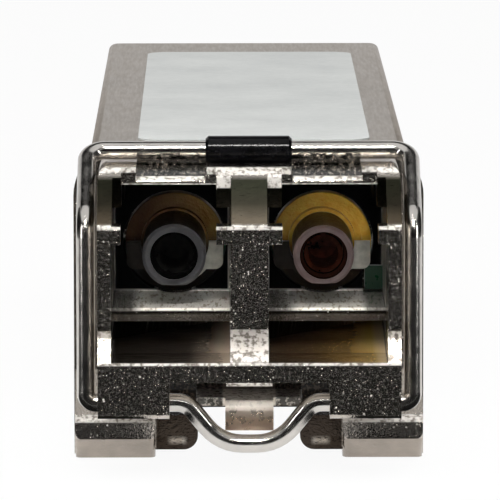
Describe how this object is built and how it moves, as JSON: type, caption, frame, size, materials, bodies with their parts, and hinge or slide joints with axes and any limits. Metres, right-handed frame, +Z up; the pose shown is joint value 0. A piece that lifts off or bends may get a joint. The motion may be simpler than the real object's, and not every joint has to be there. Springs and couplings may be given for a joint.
{
  "type": "optical transceiver module",
  "caption": "Pluggable fibre-optic transceiver with a duplex LC receptacle, a cast nose and tray, a sheet cover, and a wire bail that works a kick-out latch slide.",
  "frame": {"origin": "midway between the two optical axes, in the plane of the port face", "axes": "+X from the transmit port to the receive port, +Y into the host, +Z up"},
  "size_m": [0.0148, 0.0565, 0.0137],
  "materials": {
    "nickel_casting": "nickel-plated zinc die casting, satin with a fine as-cast grain",
    "cover_sheet": "nickel-plated steel sheet, fine satin",
    "label": "bare polyester label, semi-matt",
    "wire": "bright nickel-plated spring wire",
    "sleeve": "glossy black moulded sleeve",
    "stamped_steel": "stamped nickel-plated steel",
    "spring_steel": "bright spring steel",
    "barrel_dark": "dark conductive polymer, satin",
    "barrel_taupe": "taupe conductive polymer, satin",
    "amber": "polished amber ceramic",
    "gold": "gold plating",
    "can_steel": "turned stainless steel",
    "flex": "polyimide flexible circuit",
    "board": "green solder mask",
    "chip": "black epoxy package",
    "ceramic_chip": "ceramic chip parts with tinned ends"
  },
  "bodies": {
    "root": {"housing_casting": "nickel_casting", "top_cover": "cover_sheet", "label_plate": "label", "actuator_keeper": "stamped_steel", "return_spring": "spring_steel", "tx_saddle": "stamped_steel", "rx_saddle": "stamped_steel", "tx_barrel": "barrel_dark", "rx_barrel": "barrel_taupe", "tx_split_sleeve": "barrel_dark", "rx_split_sleeve": "amber", "tx_fibre_stub": "barrel_dark", "rx_fibre_stub": "amber", "tx_collar": "gold", "rx_collar": "gold", "tx_can": "can_steel", "rx_can": "can_steel", "tx_flex_circuit": "flex", "rx_flex_circuit": "flex", "circuit_board": "board", "edge_contacts": "gold", "laser_driver": "chip", "limiting_amplifier": "chip", "microcontroller": "chip", "power_filter": "chip", "chip_components": "ceramic_chip", "shield_collar": "spring_steel"},
    "bail": {"bail_wire": "wire", "bail_sleeve": "sleeve"},
    "actuator": {"actuator_slide": "stamped_steel"}
  },
  "joints": [
    {"name": "bail_pivot", "type": "hinge", "parent": "root", "child": "bail", "pos_m": [0, 0.0013, -0.00567], "axis": [1, 0, 0], "range_deg": [0, 90]},
    {"name": "actuator_travel", "type": "slide", "parent": "root", "child": "actuator", "axis": [0, 1, 0], "range_m": [0, 0.0016], "stiffness_N_per_m": 20, "springref_m": -0.001, "deforming": ["return_spring"]}
  ],
  "couplings": [
    {"joint": "bail_pivot", "follows": "actuator_travel", "rad_per_m": 981}
  ]
}
